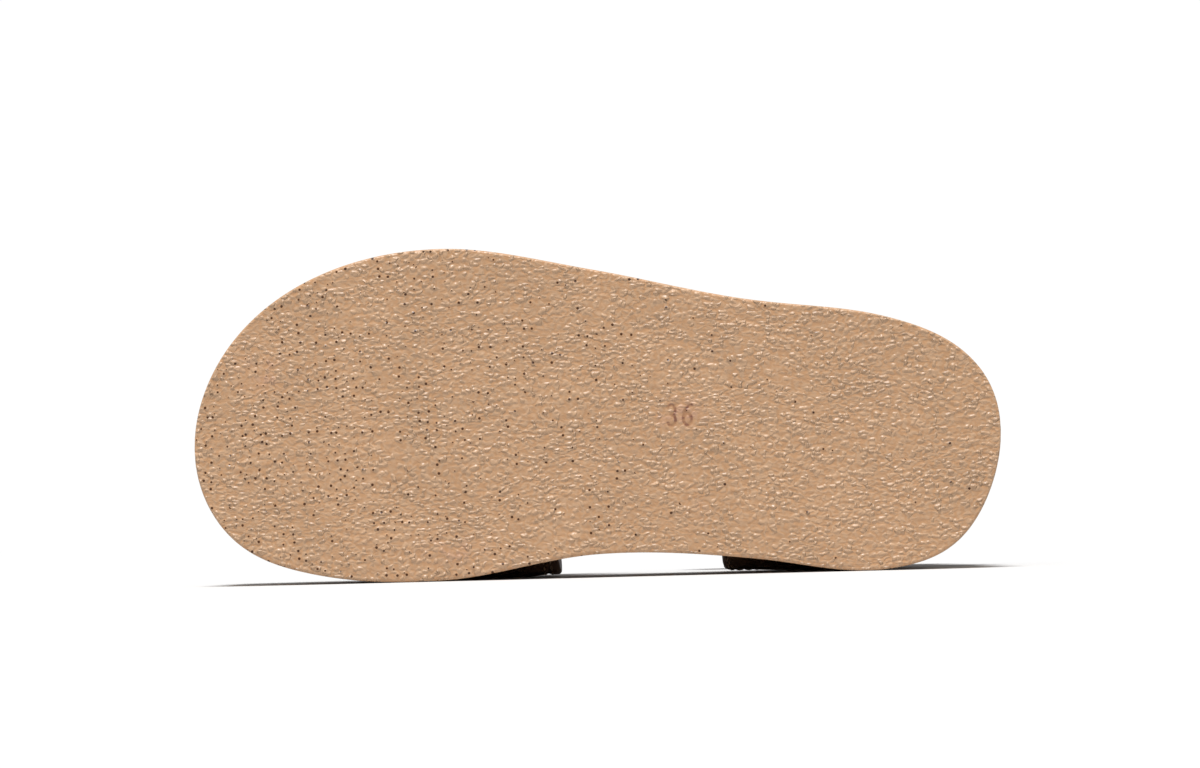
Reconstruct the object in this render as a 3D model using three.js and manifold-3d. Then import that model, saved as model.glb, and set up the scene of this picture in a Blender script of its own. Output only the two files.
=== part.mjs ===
import * as THREE from "three";
import Module from "manifold-3d";
import { mergeVertices } from "three/addons/utils/BufferGeometryUtils.js";

const wasm = await Module();
wasm.setup();

// A platform sandal for the left foot, EU size 36. It lies on its medial side, so its tread stands upright.
//
// Every piece is worked out in the shoe's own frame, in millimetres. There x runs forward from the back of
// the heel, y runs from the medial edge of the sole to the lateral edge, and z runs up from the tread.
// The nested groups at the end lay the shoe on its side.

// The sole's outline: half-widths on each side of the middle line, at stations from heel to toe
const SOLE_LENGTH = 246;
const MIDDLE_LINE = 42; // from the medial edge
const HEEL_TIP_SPREAD = 70; // a larger spread rounds an end more broadly
const TOE_TIP_SPREAD = 72;
const SOLE_STATIONS = [
  { at: 9.4, medial: 28.6, lateral: 23 },
  { at: 36, medial: 41.65, lateral: 35.8 },
  { at: 76, medial: 37.4, lateral: 41.6 },
  { at: 123, medial: 34.9, lateral: 51.8 },
  { at: 170, medial: 41.7, lateral: 59.3 },
  { at: 210, medial: 38.9, lateral: 50.6 },
  { at: 236.6, medial: 25.6, lateral: 28.6 },
];
const EDGE_POINTS = 120; // around the whole outline

// The sole's heights
const OUTSOLE_THICKNESS = 6;
const FOREFOOT_PLATFORM = 36; // the platform's top under the ball, from the tread
const HEEL_PLATFORM = 46;
const RISE_FROM = 150; // the top starts to rise towards the heel here
const RISE_TO = 60; // and is at full height here
const TOE_SPRING = 4.5;
const SPRING_FROM = 178;
const SIDE_DRAFT = THREE.MathUtils.degToRad(2); // the side wall leans in as it rises
const TREAD_EDGE = 0.5; // the small round at the tread's edge
const TOP_EDGE = 2.4; // the larger round at the platform's top edge
const GAP = 0.3; // between pieces that are glued or sewn together

// The insole: rings from its edge inwards, with a low rim that cups the foot
const INSOLE_EDGE = 1; // how far it stands in from the platform's edge
const INSOLE_RIM = [
  { inwards: 0, height: 3.6 },
  { inwards: 1, height: 5.2 },
  { inwards: 3.2, height: 6.2 },
  { inwards: 6, height: 6 },
  { inwards: 10, height: 5.1 },
  { inwards: 16, height: 4.6 },
];

// The upper's leather, lasted under the insole
const LEATHER = 2.4;
const LASTING_MARGIN = 14; // the turned-in part, measured from the feather line
const FEATHER_INSET = 0.4; // the wall rises this far inside the platform's top edge
const LASTING_RADIUS = 3; // of the turn from margin to wall
const WIDEST_HEIGHT = 14; // the wall bulges out to the sole's plumb line at this height
const WAIST_FROM = 42; // the sole's medial edge rests on the floor here and at the next, and is clear between
const WAIST_TO = 180;
const WAIST_BULGE = 0.95; // how much of that clearance the wall fills
const FLOOR_CLEARANCE = 0.35;
const CORNER_STEPS = 3;
const WALL_STEPS = 3;

// The vamp band, from its rear edge to its front edge: where each section leaves the sole on both sides,
// where it crosses the ridge of the instep, and how high it is there above the platform
const INSTEP_RIDGE = 40; // from the medial edge
const VAMP_SECTIONS = [
  { share: 0, medial: 136, crest: 140, lateral: 128, height: 61 },
  { share: 0.35, medial: 158, crest: 160, lateral: 150, height: 53 },
  { share: 0.7, medial: 180, crest: 180, lateral: 171, height: 46 },
  { share: 1, medial: 200, crest: 197, lateral: 191, height: 41 },
];
const VAMP_FULLNESS = 0.92; // under 1, the arch over the foot is fuller than an ellipse
const VAMP_STEPS_ACROSS = 9;
const ARCH_STEPS = 11; // on each side of the ridge

// The heel counter, by angle along the sole's edge from the back of the heel
const COUNTER_TOPLINE = [
  { angle: 0, height: 73 },
  { angle: 22, height: 73 },
  { angle: 38, height: 62 },
  { angle: 50, height: 41 },
  { angle: 60, height: 26.5 },
  { angle: 66, height: 20 },
  { angle: 71, height: 16.5 },
];
const COUNTER_STEPS_AROUND = 36;
const COUNTER_STEPS_UP = 8;
const ANKLE_FROM = 58; // from this height up the counter has the ankle's section
const ANKLE_CENTRE = { x: 52, y: 41 };
const ANKLE_HALF_LENGTH = 41;
const ANKLE_HALF_WIDTH = 31;
const ANKLE_TURN = 1.5; // degrees around the ankle for each degree along the sole's edge

// The ankle strap, by angle around the ankle: 0 at the back, 90 on the lateral side, 180 in front.
// It starts at its tail on the lateral side, passes the front, the medial side and the back, and ends as
// the short tab under its own tail.
const STRAP_THICKNESS = 2.2;
const STRAP_WIDTH = 16;
const STRAP_PROUD = 1.8; // how far its face stands out from the counter's
const STRAP_BACK_HEIGHT = 67; // its centre line above the heel's platform
const STRAP_FRONT_RISE = 16;
const TAIL_ANGLE = -285;
const TAB_ANGLE = 130;
const TAIL_LIFTED_BY = -232; // the tail has passed over the tab's end here
const TAIL_LIFTS_FROM = -186;
const TIP_DEGREES = 11; // the tips are rounded over this much
const TIP_SHARE = 0.35; // of the width that is left at the very end
const STRAP_STEPS_AROUND = 84;
const STRAP_STEPS_UP = 3;

// The touch-fastener pad between the tab and the tail
const PAD_THICKNESS = 1.4;
const PAD_WIDTH = 12;
const PAD_FROM_ANGLE = 80;
const PAD_TO_ANGLE = 124;
const PAD_STEPS_AROUND = 12;

const { clamp, degToRad, lerp, smoothstep } = THREE.MathUtils;

// The whole numbers from 0 to a count.
const upTo = (count) => Array.from({ length: count + 1 }, (_, i) => i);

// The shares 0 to 1 in even steps.
const shares = (count) => upTo(count).map((i) => i / count);

// A smooth curve through knots of { at, value }, level beyond the first and the last.
function smoothCurve(knots) {
  const slopes = knots.map((_, i) => {
    const before = knots[Math.max(i - 1, 0)];
    const after = knots[Math.min(i + 1, knots.length - 1)];
    return (after.value - before.value) / (after.at - before.at);
  });
  return (at) => {
    const place = clamp(at, knots[0].at, knots.at(-1).at);
    const next = knots.findIndex((knot, i) => i > 0 && place <= knot.at);
    const [from, to] = [knots[next - 1], knots[next]];
    const span = to.at - from.at;
    const t = (place - from.at) / span;
    const back = 1 - t;
    return (
      back * back * (1 + 2 * t) * from.value +
      t * back * back * span * slopes[next - 1] +
      t * t * (1 + 2 * back) * to.value -
      t * t * back * span * slopes[next]
    );
  };
}

// One column of a table as a smooth curve of another column.
const column = (rows, along, name) =>
  smoothCurve(rows.map((row) => ({ at: row[along], value: row[name] })));

// The angle along the sole's edge, from 0 at the heel's tip to pi at the toe's tip, for a distance forward.
const angleAt = (forward) => Math.acos(1 - (2 * forward) / SOLE_LENGTH);

// How broad an ellipse of the sole's length would be to pass through the outline at each angle. It runs
// once round: heel, medial side, toe, lateral side. The turns before and after it keep the ends smooth.
const spreadAt = (() => {
  const turn = 2 * Math.PI;
  const medial = SOLE_STATIONS.map(({ at, medial }) => ({
    at: angleAt(at),
    value: medial / Math.sin(angleAt(at)),
  }));
  const lateral = SOLE_STATIONS.map(({ at, lateral }) => ({
    at: turn - angleAt(at),
    value: lateral / Math.sin(angleAt(at)),
  })).reverse();
  const heel = { at: 0, value: HEEL_TIP_SPREAD };
  const toe = { at: Math.PI, value: TOE_TIP_SPREAD };
  const once = [heel, ...medial, toe, ...lateral];
  const shifted = (by) => once.map(({ at, value }) => ({ at: at + by, value }));
  const curve = smoothCurve([...shifted(-turn), ...once, ...shifted(turn)]);
  return (angle) => curve(((angle % turn) + turn) % turn);
})();

// The sole's outline in plan.
function outline(angle) {
  return new THREE.Vector2(
    (SOLE_LENGTH / 2) * (1 - Math.cos(angle)),
    MIDDLE_LINE - spreadAt(angle) * Math.sin(angle),
  );
}

// The outline moved inwards, square to itself.
function insetOutline(angle, inset) {
  const step = 1e-3;
  const along = outline(angle + step).sub(outline(angle - step)).normalize();
  return outline(angle).add(new THREE.Vector2(-along.y, along.x).multiplyScalar(inset));
}

// How far the tread curves up at the toe.
const spring = (forward) =>
  TOE_SPRING * (Math.max(0, forward - SPRING_FROM) / (SOLE_LENGTH - SPRING_FROM)) ** 2;

// The height of the platform's top without the toe spring, and with it.
const platformThickness = (forward) =>
  lerp(HEEL_PLATFORM, FOREFOOT_PLATFORM, smoothstep(forward, RISE_TO, RISE_FROM));
const platformTop = (forward) => platformThickness(forward) + spring(forward);

// How far the side wall has leaned in at a height above the tread.
const draft = (height) => height * Math.tan(SIDE_DRAFT);
const topInset = (forward) => draft(platformThickness(forward));

// A closed mesh from its points and triangles.
function meshGeometry(points, triangles) {
  const geometry = new THREE.BufferGeometry();
  const numbers = points.flatMap((point) => point.toArray());
  geometry.setAttribute("position", new THREE.Float32BufferAttribute(numbers, 3));
  geometry.setIndex(triangles);
  geometry.computeVertexNormals();
  return geometry;
}

// A layer of the sole: rings around the outline from the bottom's edge to the top's, closed by two caps of
// strips that run from side to side. Each ring gives its inset and its height for a distance forward.
function soleLayer(rings) {
  const points = [];
  const triangles = [];
  const index = (ring, k) => ring * EDGE_POINTS + (k % EDGE_POINTS);
  for (const { inset, height } of rings) {
    for (let k = 0; k < EDGE_POINTS; k++) {
      const angle = (2 * Math.PI * k) / EDGE_POINTS;
      const edge = insetOutline(angle, inset(outline(angle).x));
      points.push(new THREE.Vector3(edge.x, edge.y, height(edge.x)));
    }
  }
  for (let ring = 0; ring < rings.length - 1; ring++) {
    for (let k = 0; k < EDGE_POINTS; k++) {
      const [a, b] = [index(ring, k), index(ring, k + 1)];
      const [c, d] = [index(ring + 1, k + 1), index(ring + 1, k)];
      triangles.push(a, b, c, a, c, d);
    }
  }
  const half = EDGE_POINTS / 2;
  const cap = (ring, up) => {
    for (let k = 0; k < half; k++) {
      const [medial, medialNext] = [index(ring, k), index(ring, k + 1)];
      const [lateral, lateralNext] = [index(ring, EDGE_POINTS - k), index(ring, EDGE_POINTS - k - 1)];
      const strip = [
        [medial, lateral, lateralNext],
        [medial, lateralNext, medialNext],
      ];
      strip
        .filter((corners) => new Set(corners).size === 3)
        .forEach((corners) => triangles.push(...(up ? corners.reverse() : corners)));
    }
  };
  cap(0, false);
  cap(rings.length - 1, true);
  return meshGeometry(points, triangles);
}

// The outward direction at each point of a grid. Its rows run from the medial side to the lateral side,
// and along a row the points run forward or up.
function gridNormals(grid) {
  const last = { row: grid.length - 1, point: grid[0].length - 1 };
  return grid.map((points, i) =>
    points.map((_, j) => {
      const across = grid[Math.min(i + 1, last.row)][j].clone();
      across.sub(grid[Math.max(i - 1, 0)][j]);
      const along = points[Math.min(j + 1, last.point)].clone();
      along.sub(points[Math.max(j - 1, 0)]);
      return along.cross(across).normalize();
    }),
  );
}

// A wall of even thickness, closed all round. Its outer face lies proud of the grid by some distance.
function wall(grid, thickness, proud = 0) {
  const normals = gridNormals(grid);
  const moved = (by) =>
    grid.flatMap((points, i) => points.map((point, j) => point.clone().addScaledVector(normals[i][j], by)));
  const points = [...moved(proud), ...moved(proud - thickness)];
  const [rows, columns] = [grid.length, grid[0].length];
  const outer = (i, j) => i * columns + j;
  const inner = (i, j) => rows * columns + outer(i, j);
  const triangles = [];
  const quad = (a, b, c, d) => triangles.push(a, b, c, a, c, d);
  for (let i = 0; i < rows - 1; i++) {
    for (let j = 0; j < columns - 1; j++) {
      quad(outer(i, j), outer(i, j + 1), outer(i + 1, j + 1), outer(i + 1, j));
      quad(inner(i, j), inner(i + 1, j), inner(i + 1, j + 1), inner(i, j + 1));
    }
    const j = columns - 1;
    quad(outer(i, 0), outer(i + 1, 0), inner(i + 1, 0), inner(i, 0));
    quad(outer(i + 1, j), outer(i, j), inner(i, j), inner(i + 1, j));
  }
  for (let j = 0; j < columns - 1; j++) {
    const i = rows - 1;
    quad(outer(0, j + 1), outer(0, j), inner(0, j), inner(0, j + 1));
    quad(outer(i, j), outer(i, j + 1), inner(i, j + 1), inner(i, j));
  }
  return meshGeometry(points, triangles);
}

// How far the wall's widest point stands out past the sole's plumb line. It does so only on the medial side
// of the waist, where it comes down nearly to the floor.
function waistBulge(angle) {
  const { x, y } = outline(angle);
  const overWaist = Math.sin(angle) > 0 && x > WAIST_FROM && x < WAIST_TO;
  return overWaist ? WAIST_BULGE * Math.max(0, y - FLOOR_CLEARANCE) : 0;
}

// The lower part of the upper at one angle of the outline, from the inner end of its margin to its widest
// point: flat on the platform, round the corner, and out to the sole's plumb line or past it.
function lastedProfile(angle, margin) {
  const forward = outline(angle).x;
  const feather = topInset(forward) + FEATHER_INSET;
  const widest = -waistBulge(angle);
  const base = platformTop(forward);
  const profile = [{ inset: feather + margin, height: GAP }];
  for (const share of shares(CORNER_STEPS)) {
    const turned = (share * Math.PI) / 2;
    profile.push({
      inset: feather + LASTING_RADIUS * (1 - Math.sin(turned)),
      height: GAP + LASTING_RADIUS * (1 - Math.cos(turned)),
    });
  }
  for (const share of shares(WALL_STEPS).slice(1)) {
    profile.push({
      inset: lerp(widest, feather, (1 + Math.cos(share * Math.PI)) / 2),
      height: lerp(GAP + LASTING_RADIUS, WIDEST_HEIGHT, share),
    });
  }
  return profile.map(({ inset, height }) => {
    const { x, y } = insetOutline(angle, inset);
    return new THREE.Vector3(x, y, base + height);
  });
}

// The vamp's outer face: one row for each step around the foot, from the medial margin to the lateral one.
// Overrun widens it past its edges and ends.
function vampGrid(overrun = 0) {
  const width = VAMP_SECTIONS.at(-1).medial - VAMP_SECTIONS[0].medial;
  const at = (name) => column(VAMP_SECTIONS, "share", name);
  const [medialAt, crestAt, lateralAt, heightAt] = ["medial", "crest", "lateral", "height"].map(at);
  const sections = shares(VAMP_STEPS_ACROSS).map((share) => {
    const past = (overrun * (2 * share - 1)) / width > 0 ? overrun : -overrun;
    const shift = share === 0 || share === 1 ? past : 0;
    const margin = LASTING_MARGIN + overrun;
    const medial = lastedProfile(angleAt(medialAt(share) + shift), margin);
    const lateral = lastedProfile(-angleAt(lateralAt(share) + shift), margin).reverse();
    const crestX = crestAt(share) + shift;
    const crest = new THREE.Vector3(crestX, INSTEP_RIDGE, platformTop(crestX) + heightAt(share));
    const arch = (side, turned) => {
      const out = Math.cos(turned) ** VAMP_FULLNESS;
      const up = Math.sin(turned) ** VAMP_FULLNESS;
      return new THREE.Vector3(
        lerp(crest.x, side.x, out),
        lerp(crest.y, side.y, out),
        lerp(side.z, crest.z, up),
      );
    };
    const turns = shares(ARCH_STEPS).slice(1, -1).map((part) => (part * Math.PI) / 2);
    return [
      ...medial,
      ...turns.map((turned) => arch(medial.at(-1), turned)),
      crest,
      ...turns.reverse().map((turned) => arch(lateral[0], turned)),
      ...lateral,
    ];
  });
  return sections[0].map((_, i) => sections.map((section) => section[i]));
}

// A point on the ankle's section, by its angle from the back towards the lateral side.
function anklePoint(angle, proud = 0) {
  return new THREE.Vector2(
    ANKLE_CENTRE.x - (ANKLE_HALF_LENGTH + proud) * Math.cos(angle),
    ANKLE_CENTRE.y + (ANKLE_HALF_WIDTH + proud) * Math.sin(angle),
  );
}

// The counter's outer face, from its medial front edge round the heel to its lateral front edge. It leans
// from its widest line in to the ankle.
function counterGrid(overrun = 0) {
  const topline = column(COUNTER_TOPLINE, "angle", "height");
  const span = COUNTER_TOPLINE.at(-1).angle;
  const overrunAngle = THREE.MathUtils.radToDeg((2 * overrun) / SOLE_LENGTH);
  return shares(COUNTER_STEPS_AROUND).map((share) => {
    const degrees = (span + overrunAngle) * (1 - 2 * share);
    const angle = degToRad(degrees);
    const lasted = lastedProfile(angle, LASTING_MARGIN + overrun);
    const widest = lasted.at(-1);
    const ankle = anklePoint(-angle * ANKLE_TURN);
    const rise = topline(Math.abs(degrees)) - WIDEST_HEIGHT;
    const above = shares(COUNTER_STEPS_UP).slice(1).map((part) => {
      const lean = smoothstep(part * rise, 0, ANKLE_FROM - WIDEST_HEIGHT);
      return new THREE.Vector3(
        lerp(widest.x, ankle.x, lean),
        lerp(widest.y, ankle.y, lean),
        widest.z + part * rise,
      );
    });
    return [...lasted, ...above];
  });
}

// A band around the ankle that follows the strap's centre line.
function ankleBand({ from, to, width, proud, around, up, roundTips }) {
  return shares(around).map((share) => {
    const degrees = lerp(from, to, share);
    const angle = degToRad(degrees);
    const { x, y } = anklePoint(angle, proud(degrees));
    const centre = HEEL_PLATFORM + STRAP_BACK_HEIGHT + (STRAP_FRONT_RISE * (1 - Math.cos(angle))) / 2;
    const toTip = Math.min(degrees - from, to - degrees) / TIP_DEGREES;
    const short = roundTips ? Math.max(0, 1 - toTip) : 0;
    const part = lerp(TIP_SHARE, 1, Math.sqrt(1 - short * short));
    return shares(up).map((step) => new THREE.Vector3(x, y, centre + part * width * (step - 0.5)));
  });
}

// How far the strap's face stands out: over the tab's end, the tail makes room for the tab and the pad.
function strapProud(degrees) {
  const lift = STRAP_THICKNESS + PAD_THICKNESS + 2 * GAP;
  return STRAP_PROUD + lift * (1 - smoothstep(degrees, TAIL_LIFTED_BY, TAIL_LIFTS_FROM));
}

const strapGrid = () =>
  ankleBand({
    from: TAIL_ANGLE,
    to: TAB_ANGLE,
    width: STRAP_WIDTH,
    proud: strapProud,
    around: STRAP_STEPS_AROUND,
    up: STRAP_STEPS_UP,
    roundTips: true,
  });

const padGrid = () =>
  ankleBand({
    from: PAD_FROM_ANGLE,
    to: PAD_TO_ANGLE,
    width: PAD_WIDTH,
    proud: () => STRAP_PROUD + GAP + PAD_THICKNESS,
    around: PAD_STEPS_AROUND,
    up: 1,
    roundTips: false,
  });

// A closed geometry as a solid that can be joined and cut, and back again.
function toSolid(geometry) {
  const bare = geometry.clone();
  bare.deleteAttribute("normal");
  const merged = mergeVertices(bare, 1e-4);
  return new wasm.Manifold(
    new wasm.Mesh({
      numProp: 3,
      vertProperties: merged.attributes.position.array,
      triVerts: new Uint32Array(merged.index.array),
    }),
  );
}

function fromSolid(solid) {
  const { vertProperties, triVerts } = solid.getMesh();
  const geometry = new THREE.BufferGeometry();
  geometry.setAttribute("position", new THREE.BufferAttribute(vertProperties, 3));
  geometry.setIndex(new THREE.BufferAttribute(triVerts, 1));
  geometry.computeVertexNormals();
  return geometry;
}

function outsoleGeometry() {
  return soleLayer([
    { inset: () => TREAD_EDGE, height: spring },
    { inset: () => 0, height: (x) => spring(x) + TREAD_EDGE },
    { inset: () => draft(OUTSOLE_THICKNESS), height: (x) => spring(x) + OUTSOLE_THICKNESS },
  ]);
}

function midsoleGeometry() {
  const bottom = OUTSOLE_THICKNESS + GAP;
  const roundedTop = shares(3).map((share) => {
    const turned = (share * Math.PI) / 2;
    return {
      inset: (x) => topInset(x) + TOP_EDGE * (1 - Math.cos(turned)),
      height: (x) => platformTop(x) - TOP_EDGE * (1 - Math.sin(turned)),
    };
  });
  return soleLayer([
    { inset: () => draft(bottom), height: (x) => spring(x) + bottom },
    ...roundedTop,
  ]);
}

// The insole rests on the platform, with the upper's margins let into its underside.
function insoleGeometry() {
  const edge = (x) => topInset(x) + INSOLE_EDGE;
  const blank = soleLayer([
    { inset: edge, height: (x) => platformTop(x) + GAP },
    ...INSOLE_RIM.map(({ inwards, height }) => ({
      inset: (x) => edge(x) + inwards,
      height: (x) => platformTop(x) + GAP + height,
    })),
  ]);
  const clearOutside = 3;
  const room = (grid) => toSolid(wall(grid, LEATHER + GAP + clearOutside, clearOutside));
  return fromSolid(toSolid(blank).subtract(room(vampGrid(GAP))).subtract(room(counterGrid(GAP))));
}

function heelQuarterGeometry() {
  const counter = toSolid(wall(counterGrid(), LEATHER));
  const strap = toSolid(wall(strapGrid(), STRAP_THICKNESS));
  return fromSolid(counter.add(strap));
}

const foam = new THREE.MeshStandardMaterial({ color: 0xbe9b7c, roughness: 0.75 });
const sideFoam = new THREE.MeshStandardMaterial({ color: 0xd2b79b, roughness: 0.8 });
const sockLeather = new THREE.MeshStandardMaterial({ color: 0xb98a62, roughness: 0.6 });
const upperLeather = new THREE.MeshStandardMaterial({ color: 0x5a3826, roughness: 0.5 });
const hookTape = new THREE.MeshStandardMaterial({ color: 0x2e2019, roughness: 0.95 });

// The shoe upright, with each piece where it is worked out.
const shoe = new THREE.Group();
const pieces = [
  ["outsole", outsoleGeometry(), foam],
  ["midsole", midsoleGeometry(), sideFoam],
  ["insole", insoleGeometry(), sockLeather],
  ["vamp_band", wall(vampGrid(), LEATHER), upperLeather],
  ["heel_quarter", heelQuarterGeometry(), upperLeather],
  ["fastener_pad", wall(padGrid(), PAD_THICKNESS), hookTape],
];
for (const [name, geometry, material] of pieces) {
  const mesh = new THREE.Mesh(geometry, material);
  mesh.name = name;
  shoe.add(mesh);
}

// Laid on its medial side: the toe points to -x, the tread faces -y, and the lateral side is on top. The
// origin is on the floor under the middle of the shoe.
const strapTop = HEEL_PLATFORM + STRAP_BACK_HEIGHT + STRAP_FRONT_RISE + STRAP_WIDTH / 2;
shoe.rotation.z = Math.PI;
shoe.position.set(SOLE_LENGTH / 2, 0, -strapTop / 2);
const lying = new THREE.Group();
lying.rotation.x = -Math.PI / 2;
lying.add(shoe);
const sandal = new THREE.Group();
sandal.add(lying);

export default sandal;
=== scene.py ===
import bpy
import numpy as np
from mathutils import Euler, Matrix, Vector


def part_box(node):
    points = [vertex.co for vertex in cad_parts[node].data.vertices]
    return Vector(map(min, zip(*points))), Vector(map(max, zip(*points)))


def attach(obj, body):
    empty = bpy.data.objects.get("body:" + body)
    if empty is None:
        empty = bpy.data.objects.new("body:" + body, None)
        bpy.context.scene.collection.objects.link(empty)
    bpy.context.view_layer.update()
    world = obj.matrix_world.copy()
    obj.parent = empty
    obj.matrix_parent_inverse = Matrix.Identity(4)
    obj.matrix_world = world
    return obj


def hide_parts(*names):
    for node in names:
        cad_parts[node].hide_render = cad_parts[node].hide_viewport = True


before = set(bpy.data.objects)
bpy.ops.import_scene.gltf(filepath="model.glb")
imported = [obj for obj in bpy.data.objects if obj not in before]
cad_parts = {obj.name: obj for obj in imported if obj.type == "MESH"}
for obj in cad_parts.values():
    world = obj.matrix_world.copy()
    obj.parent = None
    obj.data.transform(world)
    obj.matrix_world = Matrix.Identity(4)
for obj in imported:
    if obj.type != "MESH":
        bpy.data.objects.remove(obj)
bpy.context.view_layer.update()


def table(columns, *rows):
    """Rows of values under named columns."""
    return [dict(zip(columns.split(), row)) for row in rows]


# A left platform sandal, lying on its medial side with its tread towards the viewer.
#
# The pieces are worked out in the shoe's own frame, in millimetres: x forward from the back of the heel, y
# from the sole's medial edge to its lateral edge, z up from the tread. These numbers repeat the solids'.
SOLE_LENGTH = 246.0
MIDDLE_LINE = 42.0
HEEL_TIP_SPREAD = 70.0
TOE_TIP_SPREAD = 72.0
SOLE_STATIONS = table(
    "at medial lateral",
    (9.4, 28.6, 23.0),
    (36, 41.65, 35.8),
    (76, 37.4, 41.6),
    (123, 34.9, 51.8),
    (170, 41.7, 59.3),
    (210, 38.9, 50.6),
    (236.6, 25.6, 28.6),
)
OUTSOLE_THICKNESS = 6.0
FOREFOOT_PLATFORM = 36.0
HEEL_PLATFORM = 46.0
HEEL_RISE = (60.0, 150.0)
TOE_SPRING = 4.5
SPRING_FROM = 178.0
SIDE_DRAFT = np.radians(2.0)
TOP_EDGE = 2.4
GAP = 0.3
INSOLE_EDGE = 1.0
INSOLE_RIM = table(
    "inwards height",
    (0.0, 5.0),
    (3.2, 6.2),
    (6.0, 6.0),
    (10.0, 5.1),
    (16.0, 4.6),
)
LEATHER = 2.4
LASTING_MARGIN = 14.0
FEATHER_INSET = 0.4
LASTING_RADIUS = 3.0
WIDEST_HEIGHT = 14.0
WAIST = (42.0, 180.0)
WAIST_BULGE = 0.95
FLOOR_CLEARANCE = 0.35
INSTEP_RIDGE = 40.0
VAMP_SECTIONS = table(
    "share medial crest lateral height",
    (0.0, 136, 140, 128, 61),
    (0.35, 158, 160, 150, 53),
    (0.7, 180, 180, 171, 46),
    (1.0, 200, 197, 191, 41),
)
VAMP_FULLNESS = 0.92
COUNTER_TOPLINE = table(
    "angle height",
    (0.0, 73.0),
    (22.0, 73.0),
    (38.0, 62.0),
    (50.0, 41.0),
    (60.0, 26.5),
    (66.0, 20.0),
    (69.4, 16.8),
    (70.5, 12.0),
    (71.0, 1.0),
)
ANKLE_FROM = 58.0
ANKLE_CENTRE = (52.0, 41.0)
ANKLE_HALF_LENGTH = 41.0
ANKLE_HALF_WIDTH = 31.0
ANKLE_TURN = 1.5
LOWEST_TOPLINE = 0.8
COUNTER_CROWDING = 1.4
LINE_STEPS = 60
STRAP_THICKNESS = 2.2
STRAP_WIDTH = 16.0
STRAP_PROUD = 1.8
STRAP_BACK_HEIGHT = 67.0
STRAP_FRONT_RISE = 16.0
TAIL_ANGLE = -285.0
TAB_ANGLE = 130.0
TAIL_LIFT = (-232.0, -186.0)
TIP_DEGREES = 11.0
PAD_THICKNESS = 1.4
PAD_WIDTH = 12.0
PAD_ANGLES = (80.0, 124.0)

# Where the shoe's frame lies in the row's frame, read from the outsole
LOW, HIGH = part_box("outsole")
HEEL_X = HIGH[0]
TREAD_Y = LOW[1]
FLOOR_TOUCH = 0.02

# The camera, as far from the tread as gives its length 805 pixels of the photograph's 1200
LENS_MM = 100.0  # on a sensor 36 mm wide
CAMERA_DISTANCE = 1.0135
CAMERA_HEIGHT = 0.014
AIM_X = 0.0014
AIM_HEIGHT = 0.0588
CAMERA_ROLL = np.radians(-1.45)

# Colours, linear
TAN_SKIN = (0.476, 0.302, 0.181)
PALE_CUT = (0.60, 0.44, 0.31)
PINK_BLUSH = (0.53, 0.285, 0.185)
STAMP_RED = (0.160, 0.052, 0.030)
# Painted shade, in place of the shade inside the tread's pinholes
PIN_PAINTED_SHADE = (0.062, 0.018, 0.001)
BROWN_LEATHER = (0.152, 0.078, 0.043)
BROWN_DARK = (0.074, 0.036, 0.020)
LINING_TAN = (0.36, 0.215, 0.12)
SOCK_TAN = (0.40, 0.232, 0.125)
THREAD = (0.42, 0.27, 0.15)
HOOK_TAPE = (0.028, 0.019, 0.014)


# Shapes in the shoe's own frame

def smooth_curve(places, values):
    """A smooth curve through the values at their places, level beyond the ends."""
    places, values = np.asarray(places, float), np.asarray(values, float)
    before = np.maximum(np.arange(len(places)) - 1, 0)
    after = np.minimum(np.arange(len(places)) + 1, len(places) - 1)
    slopes = (values[after] - values[before]) / (places[after] - places[before])

    def curve(at):
        at = np.clip(at, places[0], places[-1])
        i = np.clip(np.searchsorted(places, at, side="right") - 1, 0, len(places) - 2)
        span = places[i + 1] - places[i]
        t = (at - places[i]) / span
        back = 1 - t
        return (
            back * back * (1 + 2 * t) * values[i]
            + t * back * back * span * slopes[i]
            + t * t * (1 + 2 * back) * values[i + 1]
            - t * t * back * span * slopes[i + 1]
        )

    return curve


def column(rows, along, name):
    """One column of a table as a smooth curve of another column."""
    return smooth_curve([row[along] for row in rows], [row[name] for row in rows])


def lerp(a, b, share):
    return a + (b - a) * share


def smoothstep(value, low, high):
    t = np.clip((value - low) / (high - low), 0, 1)
    return t * t * (3 - 2 * t)


def peak(offset, width):
    """A soft peak of 1 where the offset is 0."""
    return np.exp(-((offset / width) ** 2))


def unit(vectors):
    return vectors / np.maximum(np.linalg.norm(vectors, axis=-1, keepdims=True), 1e-12)


def angle_at(forward):
    """The angle along the sole's edge for a distance forward: 0 at the heel's tip, pi at the toe's."""
    return np.arccos(np.clip(1 - 2 * np.asarray(forward, float) / SOLE_LENGTH, -1, 1))


def make_spread():
    turn = 2 * np.pi
    at = angle_at([row["at"] for row in SOLE_STATIONS])
    medial = np.array([row["medial"] for row in SOLE_STATIONS]) / np.sin(at)
    lateral = np.array([row["lateral"] for row in SOLE_STATIONS]) / np.sin(at)
    places = np.concatenate([[0], at, [np.pi], turn - at[::-1]])
    values = np.concatenate([[HEEL_TIP_SPREAD], medial, [TOE_TIP_SPREAD], lateral[::-1]])
    three_turns = np.concatenate([places - turn, places, places + turn])
    curve = smooth_curve(three_turns, np.tile(values, 3))
    return lambda angle: curve(np.mod(angle, turn))


spread_at = make_spread()


def outline(angle):
    """The sole's outline in plan."""
    angle = np.asarray(angle, float)
    forward = SOLE_LENGTH / 2 * (1 - np.cos(angle))
    return np.stack([forward, MIDDLE_LINE - spread_at(angle) * np.sin(angle)], -1)


def inset_outline(angle, inset):
    """The outline moved inwards, square to itself."""
    step = 1e-3
    angle = np.asarray(angle, float)
    along = unit(outline(angle + step) - outline(angle - step))
    inwards = np.stack([-along[..., 1], along[..., 0]], -1)
    return outline(angle) + inwards * np.asarray(inset, float)[..., None]


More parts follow.
